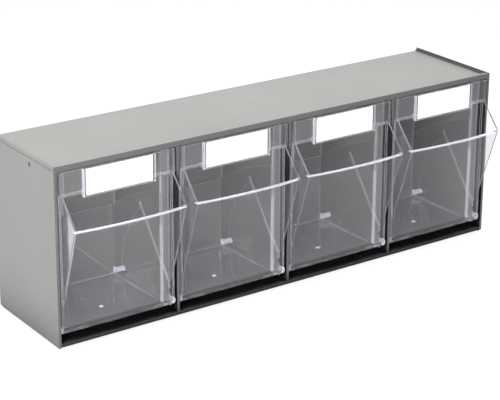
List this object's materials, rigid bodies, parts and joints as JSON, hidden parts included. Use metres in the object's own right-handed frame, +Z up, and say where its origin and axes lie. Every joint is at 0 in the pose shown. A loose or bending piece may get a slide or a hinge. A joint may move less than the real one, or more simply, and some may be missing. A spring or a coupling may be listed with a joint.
{
  "type": "small parts storage unit",
  "caption": "Grey plastic cabinet with a row of clear tilt-out bins that hinge forward at the foot, each with a scoop front and a label card.",
  "frame": {"origin": "centre of the whole object's footprint, bins closed, on the surface that it stands on", "axes": "+X along the row of bins to the right as seen from the front, +Y from the bins to the wall behind, +Z up"},
  "size_m": [0.6, 0.168, 0.206],
  "materials": {
    "cabinet_grey": "satin moulded polystyrene",
    "clear_bin": "clear polished polystyrene",
    "clear_holder": "clear polished polystyrene",
    "white_card": "plain white card"
  },
  "bodies": {
    "cabinet": {"left_side_panel": "cabinet_grey", "right_side_panel": "cabinet_grey", "top_panel": "cabinet_grey", "bottom_panel": "cabinet_grey", "back_panel": "cabinet_grey", "divider_1": "cabinet_grey", "divider_2": "cabinet_grey", "divider_3": "cabinet_grey"},
    "tilting_bin_1": {"bin_1": "clear_bin", "label_holder_1": "clear_holder", "label_card_1": "white_card"},
    "tilting_bin_2": {"bin_2": "clear_bin", "label_holder_2": "clear_holder", "label_card_2": "white_card"},
    "tilting_bin_3": {"bin_3": "clear_bin", "label_holder_3": "clear_holder", "label_card_3": "white_card"},
    "tilting_bin_4": {"bin_4": "clear_bin", "label_holder_4": "clear_holder", "label_card_4": "white_card"}
  },
  "joints": [
    {"name": "bin_1_tilt", "type": "hinge", "parent": "cabinet", "child": "tilting_bin_1", "pos_m": [-0.22391, -0.045, 0.019], "axis": [1, 0, 0], "range_deg": [0, 51]},
    {"name": "bin_2_tilt", "type": "hinge", "parent": "cabinet", "child": "tilting_bin_2", "pos_m": [-0.07464, -0.045, 0.019], "axis": [1, 0, 0], "range_deg": [0, 51]},
    {"name": "bin_3_tilt", "type": "hinge", "parent": "cabinet", "child": "tilting_bin_3", "pos_m": [0.07464, -0.045, 0.019], "axis": [1, 0, 0], "range_deg": [0, 51]},
    {"name": "bin_4_tilt", "type": "hinge", "parent": "cabinet", "child": "tilting_bin_4", "pos_m": [0.22391, -0.045, 0.019], "axis": [1, 0, 0], "range_deg": [0, 51]}
  ]
}
